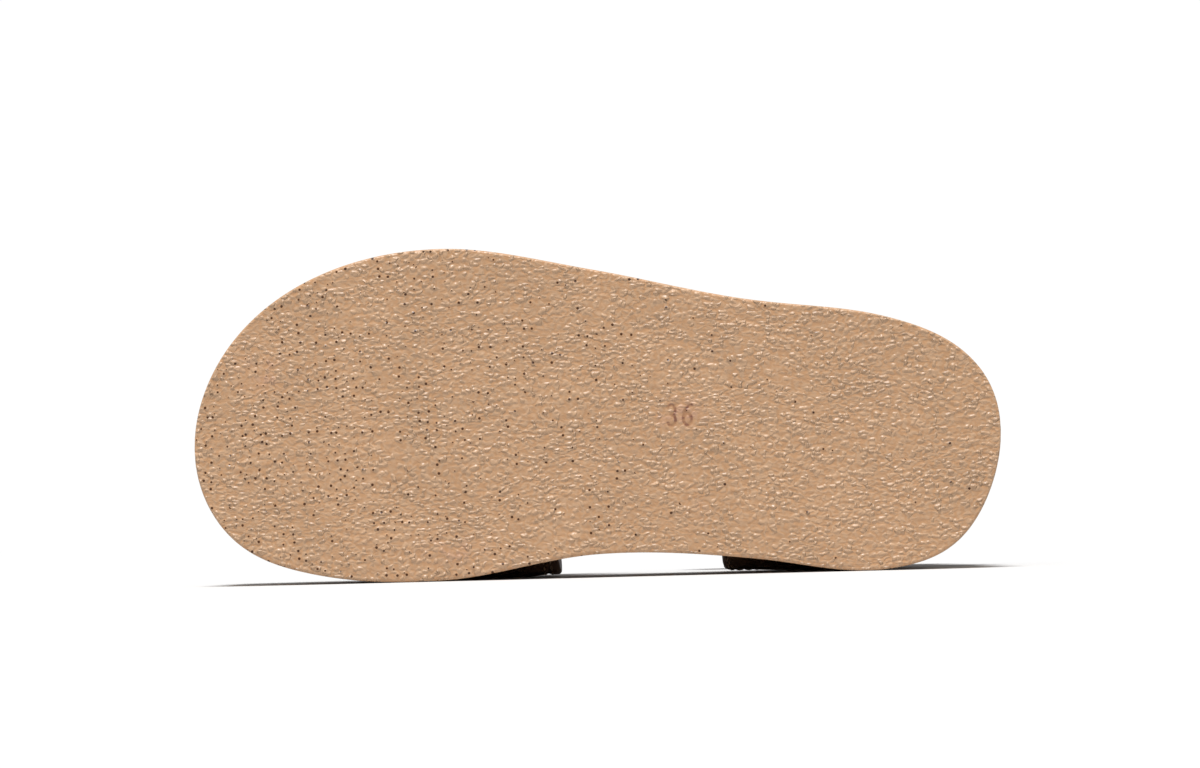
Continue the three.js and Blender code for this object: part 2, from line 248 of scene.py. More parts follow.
def ring_of(angle, inset, base, height):
    """A ring of points inside the outline, at a height above a base."""
    plan = inset_outline(angle, inset)
    return np.concatenate([plan, (base(plan[:, 0]) + height)[:, None]], -1)


def spring(forward):
    """How far the tread curves up at the toe."""
    return TOE_SPRING * (np.maximum(0, forward - SPRING_FROM) / (SOLE_LENGTH - SPRING_FROM)) ** 2


def platform_thickness(forward):
    return lerp(HEEL_PLATFORM, FOREFOOT_PLATFORM, smoothstep(forward, *HEEL_RISE))


def platform_top(forward):
    return platform_thickness(forward) + spring(forward)


def draft(height):
    """How far the side wall has leaned in at a height above the tread."""
    return height * np.tan(SIDE_DRAFT)


def top_inset(forward):
    return draft(platform_thickness(forward))


def waist_bulge(angle):
    """How far the wall stands out past the sole's plumb line, on the waist's medial side."""
    edge = outline(angle)
    over_waist = (np.sin(angle) > 0) & (edge[..., 0] > WAIST[0]) & (edge[..., 0] < WAIST[1])
    return over_waist * WAIST_BULGE * np.maximum(0, edge[..., 1] - FLOOR_CLEARANCE)


def lasted_profile(angle, corner_steps=8, wall_steps=14, margin_steps=4):
    """The upper's lower part at each angle, from the margin's end to the widest point, with heights."""
    forward = outline(angle)[..., 0]
    feather = top_inset(forward) + FEATHER_INSET
    widest = -waist_bulge(angle)
    rows = []
    for share in np.linspace(0, 1, margin_steps, endpoint=False):
        rows.append((feather + lerp(LASTING_MARGIN, LASTING_RADIUS, share), GAP))
    for turned in np.linspace(0, np.pi / 2, corner_steps):
        inset = feather + LASTING_RADIUS * (1 - np.sin(turned))
        rows.append((inset, GAP + LASTING_RADIUS * (1 - np.cos(turned))))
    for share in np.linspace(0, 1, wall_steps)[1:]:
        inset = lerp(widest, feather, (1 + np.cos(share * np.pi)) / 2)
        rows.append((inset, lerp(GAP + LASTING_RADIUS, WIDEST_HEIGHT, share)))
    base = platform_top(forward)
    points = [
        np.concatenate([inset_outline(angle, inset), (base + height)[..., None]], -1)
        for inset, height in rows
    ]
    return np.stack(points, -2), np.array([height for _, height in rows])


EVEN_PLACES = 4001


def crowded(even, weight, steps):
    """Places along an even line, closer together where the weight is larger."""
    total = np.concatenate([[0], np.cumsum((weight[1:] + weight[:-1]) / 2)])
    return np.interp(np.linspace(0, total[-1], steps + 1), total, even)


def running_length(line):
    """How far each point of a line is from its start. The rows of a grid are lines."""
    steps = np.linalg.norm(np.diff(line, axis=-2), axis=-1)
    return np.concatenate([0 * steps[..., :1], np.cumsum(steps, -1)], -1)


def interpolated(where, lengths, values):
    """Rows of three values, read at places along their line."""
    return np.stack([np.interp(where, lengths, values[:, k]) for k in range(3)], -1)


def resample(line, count, until=None):
    """Points at even steps along a line, as far as a length of it."""
    lengths = running_length(line)
    places = np.linspace(0, lengths[-1] if until is None else until, count)
    return interpolated(places, lengths, line)


def vamp_grid(around, across, from_edge):
    """The vamp's outer face. Rows go round the foot, and along a row the points go forward."""
    width = VAMP_SECTIONS[-1]["medial"] - VAMP_SECTIONS[0]["medial"]
    shares = np.linspace(from_edge / width, 1 - from_edge / width, across)
    medial_at, crest_at, lateral_at, height_at = (
        column(VAMP_SECTIONS, "share", name)(shares) for name in ("medial", "crest", "lateral", "height")
    )
    medial, _ = lasted_profile(angle_at(medial_at))
    lateral, _ = lasted_profile(-angle_at(lateral_at))
    turned = np.linspace(0, np.pi / 2, LINE_STEPS)[1:, None]
    out, up = np.cos(turned) ** VAMP_FULLNESS, np.sin(turned) ** VAMP_FULLNESS
    sections = []
    for k in range(across):
        crest = np.array([crest_at[k], INSTEP_RIDGE, platform_top(crest_at[k]) + height_at[k]])
        arches = []
        for side in (medial[k, -1], lateral[k, -1]):
            arch = lerp(crest, side, out)
            arch[:, 2] = lerp(side[2], crest[2], up[:, 0])
            arches.append(arch)
        line = np.concatenate([medial[k], arches[0], arches[1][-2::-1], lateral[k][::-1]])
        sections.append(resample(line, around))
    return np.stack(sections, 1)


def ankle_point(angle, proud=0.0):
    """A point on the ankle's section, by its angle from the back towards the lateral side."""
    x = ANKLE_CENTRE[0] - (ANKLE_HALF_LENGTH + proud) * np.cos(angle)
    y = ANKLE_CENTRE[1] + (ANKLE_HALF_WIDTH + proud) * np.sin(angle)
    return np.stack([x, y], -1)


def counter_grid(around, up, below_top):
    """The counter's outer face. Rows go round the heel, and along a row the points go up."""
    topline = column(COUNTER_TOPLINE, "angle", "height")
    place = np.linspace(-1, 1, around)
    spaced = 1 - (1 - np.abs(place)) ** COUNTER_CROWDING
    degrees = -COUNTER_TOPLINE[-1]["angle"] * np.sign(place) * spaced
    rows = []
    for k, angle in enumerate(np.radians(degrees)):
        lasted, heights = lasted_profile(angle)
        widest = lasted[-1]
        rise = np.linspace(0, COUNTER_TOPLINE[0]["height"] - WIDEST_HEIGHT, LINE_STEPS)[1:]
        lean = smoothstep(rise, 0, ANKLE_FROM - WIDEST_HEIGHT)[:, None]
        plan = lerp(widest[:2], ankle_point(-angle * ANKLE_TURN), lean)
        above = np.concatenate([plan, (widest[2] + rise)[:, None]], -1)
        line = np.concatenate([lasted, above])
        heights = np.concatenate([heights, WIDEST_HEIGHT + rise])
        lengths = running_length(line)
        wall = heights > GAP + 0.01
        top = max(topline(abs(degrees[k])) - below_top, LOWEST_TOPLINE)
        rows.append(resample(line, up, np.interp(top, heights[wall], lengths[wall])))
    return np.stack(rows)


def strap_proud(degrees):
    """How far the strap's face stands out: past the tab's end the tail has made room for tab and pad."""
    lift = STRAP_THICKNESS + PAD_THICKNESS + 2 * GAP
    return STRAP_PROUD + lift * (1 - smoothstep(degrees, *TAIL_LIFT))


def ankle_band(degrees, half_widths, proud, up):
    """A band round the ankle on the strap's centre line, with a half-width for each of its angles."""
    angle = np.radians(degrees)
    plan = ankle_point(angle, proud)
    centre = HEEL_PLATFORM + STRAP_BACK_HEIGHT + STRAP_FRONT_RISE * (1 - np.cos(angle)) / 2
    heights = centre[:, None] + half_widths[:, None] * np.linspace(-1, 1, up)
    return np.concatenate([np.repeat(plan[:, None], up, 1), heights[..., None]], -1)


def grid_normals(grid):
    """The outward direction at each point of a grid whose rows go from the medial side to the lateral."""
    across = np.gradient(grid, axis=0)
    along = np.gradient(grid, axis=1)
    return unit(np.cross(along, across))


# Meshes

def to_row(points):
    """Points of the shoe's frame in the row's frame, in metres. What the floor presses is flat on it."""
    x, y, z = np.moveaxis(np.asarray(points, float), -1, 0) / 1000
    return np.stack([HEEL_X - x, TREAD_Y + z, np.maximum(y, FLOOR_TOUCH / 1000)], -1)


def add_object(name, data):
    item = bpy.data.objects.new(name, data)
    bpy.context.scene.collection.objects.link(item)
    return item


def add_piece(name, points, faces, materials, slot, *nodes, slots=None, values=None):
    """A smooth shaded piece on the shoe's one body, which stands for some of its solids.

    Slots holds a material's number for each face, and values a number for each point under a name.
    """
    mesh = bpy.data.meshes.new(name)
    mesh.from_pydata(to_row(points).tolist(), [], [list(map(int, face)) for face in faces])
    for material in materials:
        mesh.materials.append(material)
    if slots is not None:
        mesh.polygons.foreach_set("material_index", np.asarray(slots, np.int32))
    for key, numbers in (values or {}).items():
        attribute = mesh.attributes.new(key, "FLOAT", "POINT")
        attribute.data.foreach_set("value", np.asarray(numbers, np.float32))
    mesh.polygons.foreach_set("use_smooth", np.ones(len(mesh.polygons), bool))
    mesh.update()
    piece = add_object(name, mesh)
    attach(piece, "root")
    if nodes:
        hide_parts(*nodes)


def closed_rings(rows, around):
    """The points' numbers in rings of points, and the faces between each ring and the next."""
    index = np.arange(rows * around).reshape(rows, around)
    following = np.roll(index, -1, axis=1)
    faces = np.stack([index[:-1], following[:-1], following[1:], index[1:]], -1).reshape(-1, 4)
    return index, faces.tolist()


OUTER, INNER, EDGE = 0, 1, 2


def strap_mesh(grid, thickness, proud=0.0, edge_steps=6):
    """A leather wall on a grid, with its long edges rounded: points, faces and a slot per face."""
    normals = grid_normals(grid)
    rows, columns = grid.shape[:2]
    outer = grid + normals * np.asarray(proud)[..., None]
    inner = grid - normals * thickness
    turned = np.linspace(0, np.pi, edge_steps + 2)[1:-1][:, None]

    def rounded(j, beside, start, end):
        border = np.gradient(grid[:, j], axis=0)
        away = unit(np.cross(border, normals[:, j]))
        flip = np.sign(np.sum(away * (grid[:, j] - grid[:, beside]), -1, keepdims=True))
        middle, half = (start + end) / 2, (start - end) / 2
        size = np.linalg.norm(half, axis=-1, keepdims=True)
        return np.stack(
            [middle + half * np.cos(t) + away * flip * size * np.sin(t) for t in turned], 1
        )

    far = rounded(-1, -2, outer[:, -1], inner[:, -1])
    near = rounded(0, 1, inner[:, 0], outer[:, 0])
    loop = np.concatenate([outer, far, inner[:, ::-1], near], 1)
    ring = loop.shape[1]
    index, faces = closed_rings(rows, ring)
    kinds = np.full(ring, EDGE)
    kinds[: columns - 1] = OUTER
    inner_from = columns + edge_steps
    kinds[inner_from : inner_from + columns - 1] = INNER
    slots = np.tile(kinds, rows - 1)
    ends = []
    for i, forward in ((0, False), (rows - 1, True)):
        top = index[i, :columns]
        bottom = index[i, inner_from : inner_from + columns][::-1]
        quads = [[top[j], bottom[j], bottom[j + 1], top[j + 1]] for j in range(columns - 1)]
        quads.append([top[-1], bottom[-1], *index[i, columns:inner_from][::-1]])
        quads.append([bottom[0], top[0], *index[i, inner_from + columns :][::-1]])
        ends += [quad[::-1] if forward else quad for quad in quads]
    return loop.reshape(-1, 3), faces + ends, slots.tolist() + [EDGE] * len(ends)


def line_in_grid(grid, distance, from_end=False, lift=0.0):
    """The line at a distance from a grid's edge, on its outer face, with the outward directions."""
    normals = grid_normals(grid)
    along = running_length(grid)
    if from_end:
        along = along[:, -1:] - along
        grid, normals, along = grid[:, ::-1], normals[:, ::-1], along[:, ::-1]
    line, out = (
        np.stack([interpolated(distance, along[i], rows[i]) for i in range(len(grid))])
        for rows in (grid, normals)
    )
    out = unit(out)
    return line + out * lift, out


STITCH_RINGS = table(
    "along radius lift",
    (-0.5, 0.10, -0.22),
    (-0.38, 0.26, 0.02),
    (0.0, 0.31, 0.14),
    (0.38, 0.26, 0.02),
    (0.5, 0.10, -0.22),
)
STITCH_SIDES = 6
STITCH_SHARE = 0.8  # of the pitch that its thread covers
STITCH_LOOK = 0.3  # its direction is read this far to each side of its middle


def stitches(line, out, pitch, keep=None):
    """Stitches of thread along a line, as points and faces."""
    lengths = running_length(line)
    count = int(lengths[-1] / pitch)
    places = (np.arange(count) + 0.5) * lengths[-1] / count
    centre = interpolated(places, lengths, line)
    normal = unit(interpolated(places, lengths, out))
    beyond = interpolated(places + STITCH_LOOK, lengths, line)
    ahead = unit(beyond - interpolated(places - STITCH_LOOK, lengths, line))
    side = unit(np.cross(normal, ahead))
    length = pitch * STITCH_SHARE
    turned = np.linspace(0, 2 * np.pi, STITCH_SIDES, endpoint=False)[:, None]
    index, shell = closed_rings(len(STITCH_RINGS), STITCH_SIDES)
    shell += [index[0, ::-1].tolist(), index[-1].tolist()]
    points, faces = [], []
    for k in range(count):
        if keep is not None and not keep(centre[k]):
            continue
        faces += [[len(points) + corner for corner in face] for face in shell]
        spokes = side[k] * np.cos(turned) + normal[k] * np.sin(turned)
        for ring in STITCH_RINGS:
            middle = centre[k] + ahead[k] * ring["along"] * length + normal[k] * ring["lift"]
            points.extend(middle + spokes * ring["radius"])
    return points, faces


def add_stitches(name, rows, slot):
    """Several rows of stitches as one mesh."""
    points, faces = [], []
    for row_points, row_faces in rows:
        faces += [[k + len(points) for k in face] for face in row_faces]
        points += row_points
    add_piece(name, points, faces, [TWIST], slot)


# Smooth noise for the tread's relief

NOISE_CELLS = 256
NOISE_START = 64


def faded(distance):
    """A share that falls from 1 at a distance of 0 to 0 at a distance of 1."""
    near = 1 - np.abs(distance)
    return near**3 * (10 - 15 * near + 6 * near**2)


def gradient_noise(x, y, wide, tall, seed):
    """Smooth noise about zero, with features of a width and a height, in millimetres."""
    angles = np.random.default_rng(seed).random((NOISE_CELLS, NOISE_CELLS)) * 2 * np.pi
    u, v = x / wide + NOISE_START, y / tall + NOISE_START
    i, j = np.floor(u).astype(int), np.floor(v).astype(int)
    total = np.zeros(np.shape(u))
    for di in (0, 1):
        for dj in (0, 1):
            du, dv = u - i - di, v - j - dj
            turned = angles[(i + di) % NOISE_CELLS, (j + dj) % NOISE_CELLS]
            total += faded(du) * faded(dv) * (np.cos(turned) * du + np.sin(turned) * dv)
    return total * 1.5


def crinkle(x, y):
    """The relief of the tread's skin: low bumps, and short wrinkles that run along the sole."""
    drift = 3 * gradient_noise(x, y, wide=30, tall=18, seed=20)
    across = x + 0.8 * gradient_noise(x, y, wide=2.2, tall=1.6, seed=11)
    up = y + 0.5 * gradient_noise(x, y, wide=3.4, tall=1.8, seed=12) + drift
    bumps = 0.15 * gradient_noise(across, up, wide=2.7, tall=1.7, seed=1)
    bumps = bumps + 0.10 * gradient_noise(across + 7, up, wide=1.7, tall=1.1, seed=2)
    wrinkle = 1 - 2 * np.abs(gradient_noise(across, up + 11, wide=2.8, tall=1.5, seed=4))
    broken = smoothstep(gradient_noise(across, up, wide=1.6, tall=1.6, seed=6), -0.1, 0.35)
    strength = 0.6 + 0.7 * smoothstep(gradient_noise(x, y, wide=6, tall=4, seed=5), -0.35, 0.35)
    return 0.8 * strength * (bumps + 0.13 * smoothstep(wrinkle, 0.45, 1.0) * broken)


# Materials

class Shader:
    """A material under construction: its node tree, and short ways to add to it."""

    def __init__(self, name, colour, roughness, **sockets):
        self.material = bpy.data.materials.new(name)
        self.material.use_nodes = True
        self.tree = self.material.node_tree
        self.surface = self.tree.nodes["Principled BSDF"]
        self.colour(colour)
        self.roughness(roughness)
        for socket, value in sockets.items():
            self.surface.inputs[socket.replace("_", " ")].default_value = value
        self.place = self.node("TexCoord").outputs["Object"]
        self.place = self.stretched((1000, 1000, 1000))

    def link(self, source, target):
        self.tree.links.new(source, target)

    def put(self, value, target):
        """A number, a colour or another node's output into a socket."""
        if isinstance(value, bpy.types.NodeSocket):
            self.link(value, target)
        elif isinstance(value, tuple) and len(value) == 3 and target.type == "RGBA":
            target.default_value = (*value, 1.0)
        else:
            target.default_value = value

    def node(self, kind, sockets=None, **settings):
        """A new node with its settings, and a value or link for each socket that is named."""
        node = self.tree.nodes.new("ShaderNode" + kind)
        for name, value in settings.items():
            setattr(node, name, value)
        for name, value in (sockets or {}).items():
            self.put(value, node.inputs[name])
        return node

    def split(self, kind, value):
        """The parts of a vector or colour, by name."""
        return self.node(kind, {0: value}).outputs

    def flat_place(self, x, y):
        """A place on a plane, from its two coordinates."""
        return self.node("CombineXYZ", {"X": x, "Y": y}).outputs[0]

    def maths(self, operation, *values):
        return self.node("Math", dict(enumerate(values)), operation=operation).outputs[0]

    def times(self, product, *others):
        for other in others:
            product = self.maths("MULTIPLY", product, other)
        return product

    def step(self, value, low, high, at_low=0.0, at_high=1.0):
        """A smooth step of a value from one number to another."""
        sockets = dict(enumerate((value, low, high, at_low, at_high)))
        return self.node("MapRange", sockets, interpolation_type="SMOOTHSTEP").outputs[0]

    def stretched(self, scale):
        """The place, stretched by a factor along each axis of the row's frame."""
        return self.node("Mapping", {"Scale": scale, "Vector": self.place}).outputs["Vector"]

    def noise(self, size, detail=2, roughness=0.5, place=None):
        """Noise with features of about a size in millimetres."""
        sockets = {"Scale": 1 / size, "Detail": detail, "Roughness": roughness}
        return self.node("TexNoise", {**sockets, "Vector": place or self.place}).outputs["Fac"]

    def cells(self, size, feature="F1", place=None, flat=False, **sockets):
        """Random cells of about a size in millimetres."""
        sockets = {"Scale": 1 / size, "Vector": place or self.place, **sockets}
        dimensions = "2D" if flat else "3D"
        return self.node("TexVoronoi", sockets, feature=feature, voronoi_dimensions=dimensions).outputs

    def value_of(self, name):
        """The mesh's own value of a name."""
        return self.node("Attribute", attribute_name=name).outputs["Fac"]

    def mix(self, share, first, second):
        """A colour between two others. A mix node's colours are its inputs 6 and 7."""
        return self.node("Mix", {0: share, 6: first, 7: second}, data_type="RGBA").outputs[2]

    def colour(self, value):
        self.put(value, self.surface.inputs["Base Color"])

    def roughness(self, value):
        self.put(value, self.surface.inputs["Roughness"])

    def bump(self, height, depth):
        """Fine relief from a height of 0 to 1, as deep as a number of millimetres."""
        node = self.node("Bump", {"Strength": 1.0, "Distance": depth / 1000, "Height": height})
        if self.surface.inputs["Normal"].is_linked:
            self.link(self.surface.inputs["Normal"].links[0].from_socket, node.inputs["Normal"])
        self.link(node.outputs["Normal"], self.surface.inputs["Normal"])


def shifted(colour, factor):
    return tuple(channel * factor for channel in colour)


# The tread's skin. Sizes are in millimetres, and a range gives a step's two ends.
WARP_X = 0.5
WARP_Y = 0.3
DRIFT = 1.5
PEBBLE = (1.8, 1.45)
PEBBLE_SOFTNESS = 0.5
PEBBLE_LEAN = 1.2  # moves a pebble's crest up, so that its upper side is steep
PEBBLE_DOME = (0.62, 0.12)
PEBBLE_CHANCE = (0.3, 0.75, 0.03, 0.36)
RIPPLE_SPREAD = 2.6  # brings the noise to about -1 to 1
RIPPLE_COARSE = 0.07
RIPPLE_FINE = 0.02
PATCH_STRENGTH = (-0.4, 0.4, 0.65, 1.3)
SMOOTHED_SHARE = 0.25  # of the relief that is left round the pressed number
SKIN_RELIEF = 1.0
SKIN_ROUGHNESS = (0.34, 0.44)
SKIN_TONES = (0.94, 1.05)
# Painted shade: the low parts of the relief are painted darker and browner by these factors, over this
# range of its height
PAINTED_HOLLOW_SHADE = (0.94, 0.81, 0.67)
PAINTED_SHADE_RANGE = (-0.03, 0.06, 0.8, 0.0)
BLUSH_SHARE = 0.6
STAMP_SHARE = 0.85
PIN_CELL = 2.75
PIN_RADIUS = (0.06, 0.15)
PIN_CORE = (1.25, 0.8)  # in radii, from bare skin to dark
PIN_RIM_RANGE = (3.2, 1.2)
PIN_RIM = 0.1
PIN_CROWDING = (-105, 60, 0.66, 0.03)  # the share of cells with a pinhole, from toe to heel
PIN_PATCHES = (0.36, 0.64, 0.25, 1.5)


def fine_crinkle(shader, along, up):
    """The finer part of the skin's relief: flattened pebbles of foam with small bumps on them."""

    def place(wide, tall, seed, x, y):
        return shader.flat_place(shader.maths("MULTIPLY_ADD", x, 1 / wide, seed), shader.times(y, 1 / tall))

    def ripple(wide, tall, seed, x=along, y=up):
        sockets = {"Scale": 1.0, "Detail": 0.0, "Vector": place(wide, tall, seed, x, y)}
        noise = shader.node("TexNoise", sockets, noise_dimensions="2D").outputs["Fac"]
        return shader.maths("MULTIPLY_ADD", noise, RIPPLE_SPREAD, -RIPPLE_SPREAD / 2)

    x = shader.maths("MULTIPLY_ADD", ripple(2.2, 1.6, 3.1), WARP_X, along)
    y = shader.maths("MULTIPLY_ADD", ripple(2.6, 1.6, 7.7), WARP_Y, up)
    y = shader.maths("MULTIPLY_ADD", ripple(30, 18, 5.3), DRIFT, y)
    where = place(*PEBBLE, 17.3, x, y)
    pebbles = shader.cells(1.0, "SMOOTH_F1", where, flat=True, Smoothness=PEBBLE_SOFTNESS)
    sockets = {0: where, 1: pebbles["Position"]}
    from_centre = shader.node("VectorMath", sockets, operation="SUBTRACT")
    offset = shader.split("SeparateXYZ", from_centre.outputs[0])
    chance = shader.split("SeparateColor", pebbles["Color"])
    leaning = shader.maths("MULTIPLY_ADD", offset["Y"], PEBBLE_LEAN, 1.0)
    dome = shader.step(pebbles["Distance"], *PEBBLE_DOME)
    height = shader.times(dome, leaning, shader.step(chance["Red"], *PEBBLE_CHANCE))
    height = shader.maths("MULTIPLY_ADD", ripple(1.2, 0.95, 23.3, x, y), RIPPLE_COARSE, height)
    height = shader.maths("MULTIPLY_ADD", ripple(0.7, 0.5, 31.7, x, y), RIPPLE_FINE, height)
    smoothed = shader.step(shader.value_of("smoothed"), 0, 1, 1.0, SMOOTHED_SHARE)
    strength = shader.times(shader.step(ripple(9, 6, 61.3), *PATCH_STRENGTH), smoothed)
    return shader.times(height, strength)


def pinholes(shader, along, up):
    """Where the skin has pinholes, which are painted dark in place of the shade inside them, and where they
    have a raised rim, both from 0 to 1.
    """
    pins = shader.cells(PIN_CELL, place=shader.flat_place(along, up), flat=True, Randomness=0.95)
    chance = shader.split("SeparateColor", pins["Color"])
    patches = shader.step(shader.noise(11), *PIN_PATCHES)
    crowding = shader.times(shader.step(along, *PIN_CROWDING), patches)
    open_pin = shader.maths("LESS_THAN", chance["Red"], crowding)
    radius = shader.step(chance["Green"], 0, 1, *PIN_RADIUS)
    from_pin = shader.maths("DIVIDE", pins["Distance"], radius)
    pinhole = shader.times(shader.step(from_pin, *PIN_CORE), open_pin)
    rim = shader.times(shader.step(from_pin, *PIN_RIM_RANGE), open_pin)
    return pinhole, rim


def tread_skin():
    """The tread's moulded skin: tan foam with pinholes, faint blushes and a pressed number. The relief's
    hollows and the pinholes are painted darker, as painted shade.
    """
    shader = Shader("tread_skin", TAN_SKIN, 0.4, Specular_IOR_Level=0.36)
    parts = shader.split("SeparateXYZ", shader.place)
    dark, light = (shifted(TAN_SKIN, factor) for factor in SKIN_TONES)
    colour = shader.mix(shader.step(shader.noise(16, detail=3), 0.3, 0.7), dark, light)
    mottled = shader.times(shader.value_of("blush"), shader.step(shader.noise(5), 0.3, 0.65))
    colour = shader.mix(shader.step(mottled, 0, 1, 0.0, BLUSH_SHARE), colour, PINK_BLUSH)
    colour = shader.mix(shader.step(shader.value_of("pressed"), 0, 1, 0.0, STAMP_SHARE), colour, STAMP_RED)
    relief = fine_crinkle(shader, parts["X"], parts["Z"])
    # Painted shade: the relief's hollows are painted darker and browner
    painted_shade = tuple(a * b for a, b in zip(TAN_SKIN, PAINTED_HOLLOW_SHADE))
    colour = shader.mix(shader.step(relief, *PAINTED_SHADE_RANGE), colour, painted_shade)
    pinhole, rim = pinholes(shader, parts["X"], parts["Z"])
    # Painted shade: the pinholes are painted dark in place of the shade inside them
    shader.colour(shader.mix(pinhole, colour, PIN_PAINTED_SHADE))
    shader.roughness(shader.step(shader.noise(2.2), 0.3, 0.7, *SKIN_ROUGHNESS))
    shader.bump(rim, PIN_RIM)
    shader.bump(relief, SKIN_RELIEF)
    return shader.material


def cut_foam(name, colour):
    """The ground side of the foam: fine open cells, painted darker inside as painted shade, and faint belt
    marks along it.
    """
    shader = Shader(name, colour, 0.8, Specular_IOR_Level=0.3)
    cloudy = shader.step(shader.noise(24, detail=3), 0.3, 0.7)
    tone = shader.mix(cloudy, shifted(colour, 0.95), shifted(colour, 1.04))
    pores = shader.cells(0.55)
    some = shader.step(shader.noise(3.0), 0.46, 0.64)
    pore = shader.times(shader.step(pores["Distance"], 0.34, 0.12), some)
    # Painted shade: the open pores are painted darker, for the shade inside them
    tone = shader.mix(shader.times(pore, 0.45), tone, shifted(colour, 0.55))
    marks = shader.noise(0.9, 3, 0.6, shader.stretched((0.07, 1, 0.07)))
    tone = shader.mix(shader.step(marks, 0.35, 0.75, 0.0, 0.12), tone, shifted(colour, 0.7))
    shader.colour(tone)
    shader.roughness(shader.step(marks, 0.3, 0.7, 0.72, 0.88))
    shader.bump(shader.maths("SUBTRACT", 1.0, pore), depth=0.14)
    shader.bump(marks, depth=0.05)
    shader.bump(shader.noise(0.35), depth=0.04)
    return shader.material


def leather(name, colour, dark, grain, grain_depth, roughness):
    """Leather: a pebbled grain, soft changes of tone, and hollows painted darker as painted shade."""
    shader = Shader(name, colour, roughness)
    broad = shader.step(shader.noise(19, 4, 0.55), 0.28, 0.72)
    tone = shader.mix(broad, shifted(colour, 0.86), shifted(colour, 1.12))
    pebbles = shader.cells(grain, "SMOOTH_F1")
    pebble = shader.step(pebbles["Distance"], 0.15, 0.62, 1.0, 0.0)
    creases = shader.cells(grain * 2.6, "DISTANCE_TO_EDGE")
    crease = shader.step(creases["Distance"], 0.0, 0.14)
    height = shader.times(pebble, shader.step(crease, 0, 1, 0.45, 1.0))
    # Painted shade: the grain's low parts and creases are painted towards the dark colour
    tone = shader.mix(shader.step(height, 0.0, 0.7, 0.42, 0.0), tone, dark)
    specks = shader.step(shader.noise(1.1), 0.62, 0.75, 0.0, 0.25)
    tone = shader.mix(specks, tone, shifted(colour, 0.7))
    shader.colour(tone)
    shader.roughness(shader.step(shader.noise(7, detail=3), 0.3, 0.7, roughness - 0.07, roughness + 0.08))
    shader.bump(height, grain_depth)
    shader.bump(shader.noise(0.25), depth=0.03)
    return shader.material


def painted_edge():
    """The straps' edges: burnished and painted, a little rough."""
    shader = Shader("edge_paint", BROWN_DARK, 0.38)
    worn = shader.step(shader.noise(6, detail=3), 0.35, 0.65)
    shader.colour(shader.mix(worn, BROWN_DARK, shifted(BROWN_DARK, 1.7)))
    shader.bump(shader.noise(0.9, detail=3), depth=0.12)
    return shader.material


def thread_twist():
    """Waxed thread, with its twist as fine slanted ridges, painted lighter on the ridges and darker between
    them as painted light and shade.
    """
    shader = Shader("thread_twist", THREAD, 0.6, Sheen_Weight=0.25)
    sockets = {"Scale": 0.5, "Distortion": 0.6, "Vector": shader.place}
    wave = shader.node("TexWave", sockets, bands_direction="DIAGONAL")
    # Painted light and shade: the twist's ridges are painted lighter and its grooves darker
    shader.colour(shader.mix(wave.outputs["Fac"], shifted(THREAD, 0.72), shifted(THREAD, 1.1)))
    shader.bump(wave.outputs["Fac"], depth=0.08)
    return shader.material


def hook_tape():
    """The fastener's tape: rows of fine hooks on a woven ground, the hooks painted lighter as painted
    highlight and the ground between them darker as painted shade.
    """
    shader = Shader("hook_tape", HOOK_TAPE, 0.85, Sheen_Weight=0.4)
    hooks = shader.cells(0.75, Randomness=0.45)
    tuft = shader.step(hooks["Distance"], 0.1, 0.5, 1.0, 0.0)
    # Painted light and shade: the raised hooks are painted lighter and the ground between them darker
    shader.colour(shader.mix(tuft, shifted(HOOK_TAPE, 0.6), shifted(HOOK_TAPE, 2.4)))
    shader.bump(tuft, depth=0.4)
    return shader.material


SKIN = tread_skin()
CUT = cut_foam("cut_foam", PALE_CUT)
# The dark colour of each leather is the painted shade in its grain's hollows
LEATHERS = table(
    "name colour dark grain grain_depth roughness",
    ("upper_leather", BROWN_LEATHER, BROWN_DARK, 1.15, 0.16, 0.46),
    ("lining_leather", LINING_TAN, shifted(LINING_TAN, 0.7), 0.7, 0.06, 0.6),
    ("sock_leather", SOCK_TAN, shifted(SOCK_TAN, 0.66), 0.8, 0.08, 0.52),
)
UPPER, LINING, SOCK = (leather(**row) for row in LEATHERS)
PAINT = painted_edge()
TWIST = thread_twist()
TAPE = hook_tape()


# The tread: one sheet of foam with its moulded skin, cut at the outline

TREAD_STEPS_ALONG = 344
TREAD_STEPS_ACROSS = 256
TREAD_ROUND = 0.7
SIDE_RINGS = (0.35, 0.7, 1.0)  # shares of the way up its side
TIP_CROWDING = 4.0
TIP_REACH = 2.5
STAMP_CROWDING = 1.5
STAMP_SPAN = (7.5, 5.5)
SKIN_FROM_EDGE = 1.2  # the relief is full from this far inside the edge
STAMP_AT = (97.7, 48.8)
STAMP_HEIGHT = 6.4
STAMP_PITCH = 4.9
STAMP_WIDTH_SHARE = 0.68  # of its height
STAMP_ARCS = table(  # in each digit's own square from 0 to 1, 3 and then 6
    "digit centre radius start end squash",
    (0, (0.5, 0.73), 0.25, 150, -80, 1.1),
    (0, (0.5, 0.26), 0.26, 90, -150, 1.1),
    (1, (0.5, 0.28), 0.27, 0, 360, 1.05),
    (1, (0.86, 0.30), 0.66, 95, 178, 0.98),
)
STAMP_DEPTH = 0.16
STAMP_REACH = (8, 6)
STAMP_PATCH = (6.5, 4.8)
STROKE_EDGE = (0.75, 0.15)
STAMP_CALM = 0.55  # how much of the low relief the patch takes away
BLUSHES = table(
    "at reach share",
    (STAMP_AT, (7.5, 5.5), 1.0),
    ((224.0, 65.0), (9.0, 6.0), 0.8),
    ((168.0, 9.5), (10.0, 4.0), 0.8),
    ((93.0, 19.5), (4.0, 4.0), 0.6),
)


